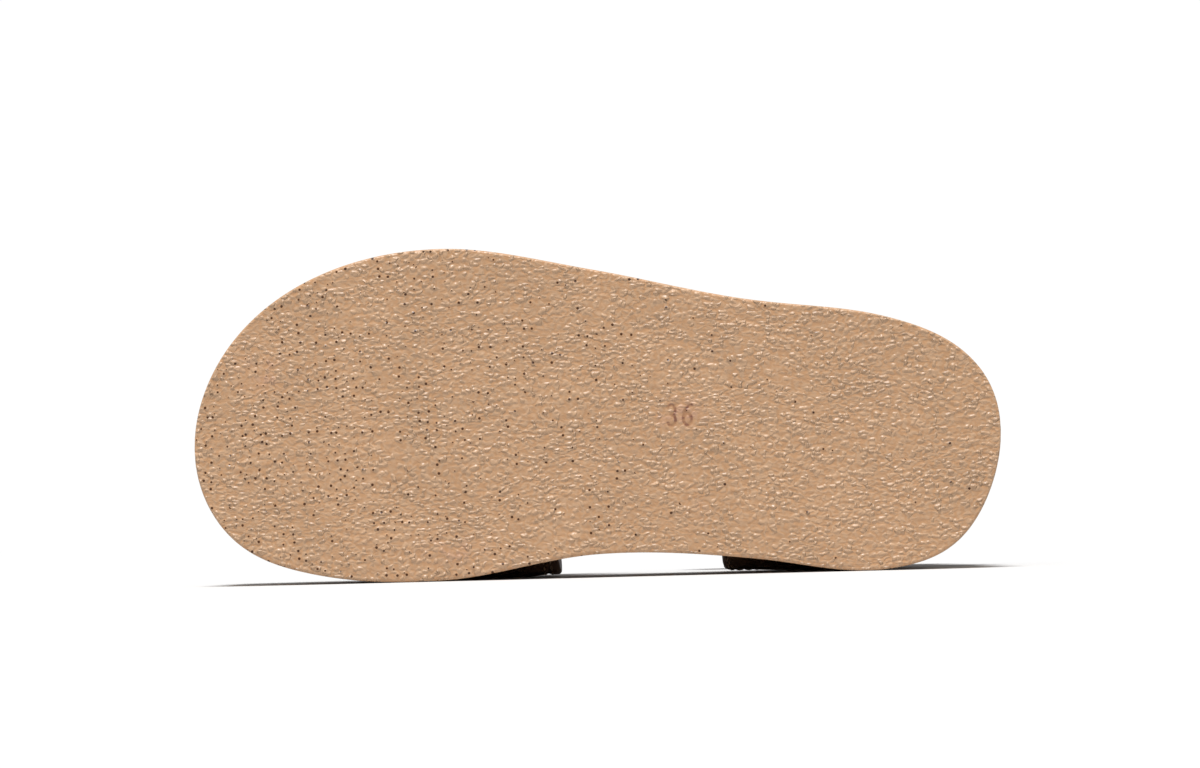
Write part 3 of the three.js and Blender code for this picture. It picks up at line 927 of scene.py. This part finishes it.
def stamp_strokes():
    """The strokes of a plain number, as points in millimetres from the stamp's centre."""
    strokes = []
    for arc in STAMP_ARCS:
        turned = np.radians(np.linspace(arc["start"], arc["end"], 40))
        across = arc["centre"][0] + arc["radius"] * arc["squash"] * np.cos(turned)
        up = arc["centre"][1] + arc["radius"] * np.sin(turned)
        line = (np.stack([across, up], -1) - 0.5) * (STAMP_HEIGHT * STAMP_WIDTH_SHARE, STAMP_HEIGHT)
        strokes.append(line + ((arc["digit"] - 0.5) * STAMP_PITCH, 0))
    return np.concatenate(strokes)


def blush_at(x, y):
    """How pink the skin is at each point, from 0 to 1: in a few faint patches and round the stamp."""
    pink = 0 * x
    for patch in BLUSHES:
        along, up = (x - patch["at"][0]) / patch["reach"][0], (y - patch["at"][1]) / patch["reach"][1]
        pink = np.maximum(pink, patch["share"] * np.exp(-(along**2) - up**2))
    return pink


def stamp_at(x, y):
    """How deep the stamp presses each point, from 0 to 1, and the dull patch round it."""
    strokes = stamp_strokes()
    right, up = STAMP_AT[0] - x, y - STAMP_AT[1]
    near = (np.abs(right) < STAMP_REACH[0]) & (np.abs(up) < STAMP_REACH[1])
    stroke = np.zeros(x.shape)
    offsets = np.stack([right[near], up[near]], -1)[:, None] - strokes[None]
    stroke[near] = smoothstep(np.linalg.norm(offsets, axis=-1).min(1), *STROKE_EDGE)
    patch = np.exp(-((right / STAMP_PATCH[0]) ** 2) - ((up / STAMP_PATCH[1]) ** 2))
    return stroke, patch


def tread_stations():
    """Places along the tread, closer together at the two tips and across the stamp."""
    even = np.linspace(0, SOLE_LENGTH, EVEN_PLACES)
    at_tip = np.exp(-np.minimum(even, SOLE_LENGTH - even) / TIP_REACH)
    at_stamp = smoothstep(np.abs(even - STAMP_AT[0]), *STAMP_SPAN)
    weight = 1 + TIP_CROWDING * at_tip + STAMP_CROWDING * at_stamp
    return crowded(even, weight, TREAD_STEPS_ALONG)


def make_tread():
    """The outsole: a fine grid for its skin, rings for its side, and strips that close its top."""
    along = tread_stations()
    angle = angle_at(along)
    angle[0], angle[-1] = 0, np.pi
    medial, lateral = outline(angle), outline(-angle)
    share = np.linspace(0, 1, TREAD_STEPS_ACROSS + 1)
    x = np.repeat(along[:, None], len(share), 1)
    y = lerp(medial[:, None, 1], lateral[:, None, 1], share)
    step = 1e-3
    slope = lambda sign: np.abs(unit(outline(sign * angle + step) - outline(sign * angle - step))[:, 0])
    to_medial = (y - medial[:, 1:]) * slope(1)[:, None]
    to_lateral = (lateral[:, 1:] - y) * slope(-1)[:, None]
    edge = np.minimum(np.minimum(to_medial, to_lateral), np.minimum(x + 0.02, SOLE_LENGTH - x + 0.02) * 2)
    turned = np.clip(1 - edge / TREAD_ROUND, 0, 1)
    stroke, patch = stamp_at(x, y)
    skin = crinkle(x, y) * (1 - STAMP_CALM * patch) * smoothstep(edge, 0.0, SKIN_FROM_EDGE)
    height = spring(x) + TREAD_ROUND * (1 - np.sqrt(1 - turned**2)) - skin + STAMP_DEPTH * stroke
    grid = np.stack([x, y, height], -1)

    rows, columns = grid.shape[:2]
    index = np.arange(rows * columns).reshape(rows, columns)
    index[0], index[-1] = index[0, 0], index[-1, 0]
    quads = np.stack([index[:-1, :-1], index[:-1, 1:], index[1:, 1:], index[1:, :-1]], -1).reshape(-1, 4)
    faces = [list(dict.fromkeys(quad)) for quad in quads.tolist()]
    slots = [0] * len(faces)

    around = np.concatenate([index[:, 0], index[-2:0:-1, -1]])
    angles = np.concatenate([angle, -angle[-2:0:-1]])
    points = [grid.reshape(-1, 3)]
    below = around
    total = rows * columns
    for rise in SIDE_RINGS:
        level = lerp(TREAD_ROUND, OUTSOLE_THICKNESS, rise)
        points.append(ring_of(angles, draft(level), spring, level))
        ring = np.arange(total, total + len(around))
        total += len(around)
        faces += np.stack([below, np.roll(below, -1), np.roll(ring, -1), ring], -1).tolist()
        slots += [1] * len(around)
        below = ring
    for k in range(rows - 1):
        corners = [below[k], below[k + 1], below[-k - 1], below[-k % len(below)]]
        faces.append(list(dict.fromkeys(corners)))
        slots.append(1)
    used = np.zeros(total, bool)
    used[[k for face in faces for k in face]] = True
    renumber = np.cumsum(used) - 1
    faces = [[renumber[k] for k in face] for face in faces]
    rest = np.zeros(total - skin.size)
    pressed = np.concatenate([stroke.ravel(), rest])
    smoothed = np.concatenate([patch.ravel(), rest])
    blush = np.concatenate([blush_at(x, y).ravel(), rest])
    values = {"blush": blush[used], "pressed": pressed[used], "smoothed": smoothed[used]}
    points = np.concatenate(points)[used]
    add_piece("tread", points, faces, [SKIN, CUT], "tread_foam", "outsole", slots=slots, values=values)


# The foam platform and the insole, built from rings round the outline

def ring_solid(rings, fill=1, crown=None):
    """A closed solid from rings round the outline. Its caps run from side to side."""
    count = rings.shape[1]
    index, faces = closed_rings(len(rings), count)
    points = [rings.reshape(-1, 3)]
    total = index.size
    half = count // 2
    for ring, up, steps in ((0, False, 1), (len(rings) - 1, True, fill)):
        strips = [[index[ring, 0]] * (steps + 1)]
        for k in range(1, half):
            medial, lateral = rings[ring, k], rings[ring, count - k]
            inside = lerp(medial, lateral, np.linspace(0, 1, steps + 1)[1:-1, None])
            if crown is not None and len(inside):
                inside[:, 2] = crown(inside[:, 0], inside[:, 1])
            points.append(inside)
            strips.append([index[ring, k], *range(total, total + len(inside)), index[ring, count - k]])
            total += len(inside)
        strips.append([index[ring, half]] * (steps + 1))
        for first, second in zip(strips, strips[1:]):
            for s in range(steps):
                corners = list(dict.fromkeys([first[s], first[s + 1], second[s + 1], second[s]]))
                faces.append(corners[::-1] if up else corners)
    return np.concatenate(points), faces


PLATFORM_STEPS_AROUND = 360
PLATFORM_STEPS_UP = 14


def make_platform():
    """The platform's block: its ground side, with a soft round at the top edge."""
    angle = np.linspace(0, 2 * np.pi, PLATFORM_STEPS_AROUND, endpoint=False)
    forward = outline(angle)[:, 0]
    bottom = OUTSOLE_THICKNESS + GAP
    top = platform_thickness(forward)
    rings = []
    for share in np.linspace(0, 1, PLATFORM_STEPS_UP, endpoint=False):
        level = lerp(bottom, top - TOP_EDGE, share)
        rings.append(ring_of(angle, draft(level), spring, level))
    for turned in np.linspace(0, np.pi / 2, 7):
        inset = draft(top) + TOP_EDGE * (1 - np.cos(turned))
        rings.append(ring_of(angle, inset, spring, top - TOP_EDGE * (1 - np.sin(turned))))
    points, faces = ring_solid(np.stack(rings))
    add_piece("platform", points, faces, [CUT], "side_foam", "midsole")


INSOLE_STEPS_AROUND = 720
SOCK_ROUND = 1.3
SOCK_STITCH_IN = 4.2
SOCK_PITCH = 3.6
GROOVE_DEPTH = 0.45
GROOVE_WIDTH = 0.55
MARGIN_END = 14.6  # the insole lies over the upper's margins as far as this from its edge
RINGS_END = 17.0
RELIEF_RANGE = (3, 14)  # from the edge, where the footbed's relief grows to its full height
STRAP_EDGE_EASE = 0.7
NOTCH_PLAY = 0.15
NOTCH_CROWDING = 0.16
STEEPEST_NOTCH = 60
FOOTBED_FORMS = table(
    "at reach height",
    ((104.0, 15.0), (34.0, 15.0), 2.6),
    ((38.0, 42.0), (24.0, 20.0), -0.9),
    ((172.0, 34.0), (20.0, 18.0), -0.7),
    ((160.0, 72.0), (20.0, 15.0), -0.5),
    ((216.0, 34.0), (12.0, 11.0), -0.5),
)


def footbed_relief(x, y):
    """The soft rise under the arch, and the shallow hollows for heel, ball and big toe."""
    total = 0
    for form in FOOTBED_FORMS:
        (at_x, at_y), (reach_x, reach_y) = form["at"], form["reach"]
        off_centre = ((x - at_x) / reach_x) ** 2 + ((y - at_y) / reach_y) ** 2
        total = total + form["height"] * np.exp(-off_centre)
    return total


def under_strap(angle):
    """From 0 to 1 where a strap's wall stands between the insole's edge and the platform's."""
    forward = outline(angle)[..., 0]
    medial = np.sin(angle) > 0
    ends = (VAMP_SECTIONS[0], VAMP_SECTIONS[-1])
    first, last = (np.where(medial, row["medial"], row["lateral"]) for row in ends)
    low, high = first - GAP, last + GAP
    counter_end = outline(np.radians(COUNTER_TOPLINE[-1]["angle"]))[0] + GAP
    vamp = smoothstep(forward, low - STRAP_EDGE_EASE, low)
    vamp = vamp * smoothstep(forward, high + STRAP_EDGE_EASE, high)
    return np.maximum(vamp, smoothstep(forward, counter_end + STRAP_EDGE_EASE, counter_end))


def insole_angles():
    """Angles round the insole, closer together where a strap's edge cuts into it."""
    even = np.linspace(0, np.pi, EVEN_PLACES)
    cut = lambda sign: np.abs(np.gradient(under_strap(sign * even), even))
    weight = 1 + NOTCH_CROWDING * np.minimum(np.maximum(cut(1), cut(-1)), STEEPEST_NOTCH)
    half = crowded(even, weight, INSOLE_STEPS_AROUND // 2)
    return np.concatenate([half, -half[-2:0:-1]])


def make_insole():
    """The padded insole, notched for the straps, with a stitched line near its edge."""
    angle = insole_angles()
    forward = outline(angle)[:, 0]
    covered = under_strap(angle)
    cut = covered * (FEATHER_INSET + LEATHER + GAP - INSOLE_EDGE + NOTCH_PLAY)
    edge = top_inset(forward) + INSOLE_EDGE
    rim = column(INSOLE_RIM, "inwards", "height")
    margin_top = LEATHER + 2 * GAP

    def surface(inwards):
        return rim(inwards) + GAP

    def ring(inwards, height):
        return ring_of(angle, edge + inwards, platform_top, height)

    under = GAP + covered * (margin_top - GAP)
    rings = [
        ring(RINGS_END, GAP),
        ring(MARGIN_END, under),
        ring(cut + SOCK_ROUND * 0.6, under),
        ring(cut, under + 0.5),
    ]
    for turned in np.linspace(0.06, np.pi / 2, 8):
        inwards = cut + SOCK_ROUND * (1 - np.cos(turned))
        drop = SOCK_ROUND * (1 - np.sin(turned))
        rings.append(ring(inwards, surface(inwards) - drop))
    start = cut + SOCK_ROUND
    for share in np.linspace(0, 1, 16)[1:]:
        inwards = lerp(start, RINGS_END, share)
        groove = GROOVE_DEPTH * peak(inwards - cut - SOCK_STITCH_IN, GROOVE_WIDTH)
        plan = inset_outline(angle, edge + inwards)
        rise = footbed_relief(plan[:, 0], plan[:, 1]) * smoothstep(inwards, *RELIEF_RANGE)
        rings.append(ring(inwards, surface(inwards) - groove + rise))
    inner_height = GAP + INSOLE_RIM[-1]["height"]
    crown = lambda x, y: platform_top(x) + inner_height + footbed_relief(x, y)
    points, faces = ring_solid(np.stack(rings), fill=40, crown=crown)
    add_piece("footbed", points, faces, [SOCK], "sock_leather", "insole")

    inwards = cut + SOCK_STITCH_IN
    line = ring(inwards, surface(inwards) - GROOVE_DEPTH + 0.03)
    line = np.concatenate([line, line[:1]])
    out = np.tile([0.0, 0.0, 1.0], (len(line), 1))
    add_stitches("footbed_stitches", [stitches(line, out, SOCK_PITCH)], "sock_leather")


# The straps

STITCH_IN = 3.0
STITCH_PITCH = 3.1
STITCH_ROWS = (STITCH_IN - LEATHER / 2, STITCH_IN - LEATHER / 2 + 2.2)
STITCHES_FROM = 7.5  # above the platform
STITCH_PULL = 0.30
STITCH_PULL_WIDTH = 0.75
FULL_FROM = 10.0
EDGE_ROUND = LEATHER / 2
CREASES = table(
    "share depth",
    (0.30, 0.30),
    (0.46, 0.38),
    (0.60, 0.26),
)
CREASE_REACH = (0.38, 0.22)  # to each side of the crest, as shares of the way round
CREASE_WIDTH = 0.028  # like the shares, of the vamp's own width
FOLD_BESIDE = 0.055
FOLD_WIDTH = 0.035
COUNTER_REACH = 110.0  # from the back seam to the counter's front, about
SEAM_DEPTH = 0.5
SEAM_WIDTH = 0.8


def sewn(distance, puff):
    """The relief by the distance from an edge: pulled in at the stitches, full beyond."""
    groove = STITCH_PULL * peak(distance - STITCH_IN, STITCH_PULL_WIDTH)
    return puff * smoothstep(distance, STITCH_IN, FULL_FROM) - groove


def above_sole(point):
    return point[2] > platform_top(point[0]) + STITCHES_FROM


def edge_stitches(grid, distances, ends, lift, keep=None):
    """Rows of stitches at distances from one or both of a grid's long edges."""
    lines = [line_in_grid(grid, distance, end, lift) for end in ends for distance in distances]
    return [stitches(line, out, STITCH_PITCH, keep) for line, out in lines]


def add_strap(name, grid, thickness, proud, node):
    """A strap's leather wall, in its three materials."""
    points, faces, slots = strap_mesh(grid, thickness, proud)
    add_piece(name, points, faces, [UPPER, LINING, PAINT], "upper_leather", node, slots=slots)


def make_vamp():
    """The wide band over the forefoot, with soft creases where the foot bends."""
    grid = vamp_grid(around=240, across=60, from_edge=EDGE_ROUND)
    along = running_length(grid)
    distance = np.minimum(along, along[:, -1:] - along)
    proud = sewn(distance, puff=0.5)
    share = along / along[:, -1:]
    around = np.linspace(0, 1, len(grid))[:, None]
    over_foot = smoothstep(np.abs(around - 0.5), *CREASE_REACH)
    for crease in CREASES:
        place, depth = crease["share"], crease["depth"]
        wander = place + 0.03 * np.sin(9 * around + 12 * place) + 0.012 * np.sin(31 * around)
        proud = proud - depth * over_foot * peak(share - wander, CREASE_WIDTH)
        proud = proud + 0.5 * depth * over_foot * peak(share - wander - FOLD_BESIDE, FOLD_WIDTH)
    add_strap("vamp", grid, LEATHER, proud, "vamp_band")
    rows = edge_stitches(grid, STITCH_ROWS, (False, True), lift=-0.12, keep=above_sole)
    add_stitches("vamp_stitches", rows, "upper_leather")


def make_counter():
    """The heel counter, with a stitched seam up its back."""
    grid = counter_grid(around=220, up=72, below_top=EDGE_ROUND)
    along = running_length(grid)
    from_top = along[:, -1:] - along
    seam = np.linspace(-1, 1, len(grid))[:, None] * COUNTER_REACH
    proud = sewn(from_top, puff=0.4) - SEAM_DEPTH * peak(seam, SEAM_WIDTH)
    add_strap("heel_counter", grid, LEATHER, proud, "heel_quarter")
    strap_from = HEEL_PLATFORM + STRAP_BACK_HEIGHT - STRAP_WIDTH / 2
    clear = lambda point: above_sole(point) and point[2] < strap_from
    rows = edge_stitches(grid, STITCH_ROWS, (True,), lift=-0.1, keep=clear)
    normals = grid_normals(grid)
    middle = len(grid) // 2
    for shift in (-2, 2):
        row = middle + shift
        rows.append(stitches(grid[row] + normals[row] * 0.2, normals[row], STITCH_PITCH, clear))
    add_stitches("counter_stitches", rows, "upper_leather")


def make_ankle_strap():
    """The strap round the ankle, with rounded tips."""
    degrees = np.linspace(TAIL_ANGLE, TAB_ANGLE, 560)
    to_tip = np.minimum(degrees - TAIL_ANGLE, TAB_ANGLE - degrees) / TIP_DEGREES
    part = np.sqrt(np.clip(1 - np.maximum(0, 1 - to_tip) ** 2, 0.004, 1))
    round_edge = STRAP_THICKNESS / 2
    half = (STRAP_WIDTH / 2 - round_edge) * part
    grid = ankle_band(degrees, half, strap_proud(degrees), up=16)
    along = running_length(grid)
    distance = np.minimum(along, along[:, -1:] - along)
    proud = sewn(distance + EDGE_ROUND, puff=0.35)
    add_strap("ankle_strap", grid, STRAP_THICKNESS, proud, "heel_quarter")
    rows = edge_stitches(grid[part > 0.55], [STITCH_IN - round_edge], (False, True), lift=-0.1)
    add_stitches("strap_stitches", rows, "upper_leather")


def make_fastener():
    """The touch fastener's pad."""
    degrees = np.linspace(*PAD_ANGLES, 60)
    half = np.full(len(degrees), PAD_WIDTH / 2 - PAD_THICKNESS / 2)
    grid = ankle_band(degrees, half, STRAP_PROUD + GAP + PAD_THICKNESS, up=14)
    points, faces, _ = strap_mesh(grid, PAD_THICKNESS)
    add_piece("hook_pad", points, faces, [TAPE], "hook_tape", "fastener_pad")


# The studio

def make_camera():
    """The camera, in front of the tread and near the floor, rolled as the photograph is."""
    data = bpy.data.cameras.new("camera")
    data.lens = LENS_MM
    data.clip_start, data.clip_end = 0.05, 50
    camera = add_object("camera", data)
    camera.location = (AIM_X, TREAD_Y - CAMERA_DISTANCE, CAMERA_HEIGHT)
    aim = Vector((AIM_X, TREAD_Y, AIM_HEIGHT)) - camera.location
    facing = aim.to_track_quat("-Z", "Y")
    camera.rotation_euler = (facing @ Euler((0, 0, CAMERA_ROLL)).to_quaternion()).to_euler()
    bpy.context.scene.camera = camera


FLOOR_HALF = 6.0
PAPER_TONES = (0.565, 0.58)
FILL_STRENGTH = 0.35
SEEN_STRENGTH = 1.02  # of the surround where the camera sees it
KEY_STRENGTH = 4.9
KEY_FROM = (-0.08, -0.29, 0.95)
KEY_SOFTNESS = np.radians(18)


def make_floor():
    """Plain pale paper, as far as the eye sees."""
    signs = ((-1, -1), (1, -1), (1, 1), (-1, 1))
    corners = [(x * FLOOR_HALF, y * FLOOR_HALF, 0) for x, y in signs]
    mesh = bpy.data.meshes.new("floor")
    mesh.from_pydata(corners, [], [range(4)])
    dark, light = ((tone,) * 3 for tone in PAPER_TONES)
    paper = Shader("paper", dark, 0.9)
    paper.colour(paper.mix(paper.noise(60), dark, light))
    mesh.materials.append(paper.material)
    add_object("floor", mesh)


def make_light():
    """An even white surround, and one soft light from high in front of the tread."""
    world = bpy.data.worlds.new("surround")
    world.use_nodes = True
    nodes, links = world.node_tree.nodes, world.node_tree.links
    background = nodes["Background"]
    background.inputs["Color"].default_value = (1, 1, 1, 1)
    rays = nodes.new("ShaderNodeLightPath")
    strength = nodes.new("ShaderNodeMapRange")
    strength.inputs["To Min"].default_value = FILL_STRENGTH
    strength.inputs["To Max"].default_value = SEEN_STRENGTH
    links.new(rays.outputs["Is Camera Ray"], strength.inputs["Value"])
    links.new(strength.outputs[0], background.inputs["Strength"])
    bpy.context.scene.world = world

    key = bpy.data.lights.new("key", "SUN")
    key.energy = KEY_STRENGTH
    key.angle = KEY_SOFTNESS
    light = add_object("key", key)
    light.rotation_euler = Vector(KEY_FROM).to_track_quat("Z", "Y").to_euler()
    bpy.context.scene.view_settings.view_transform = "Standard"


make_camera()
make_floor()
make_light()
make_tread()
make_platform()
make_insole()
make_vamp()
make_counter()
make_ankle_strap()
make_fastener()
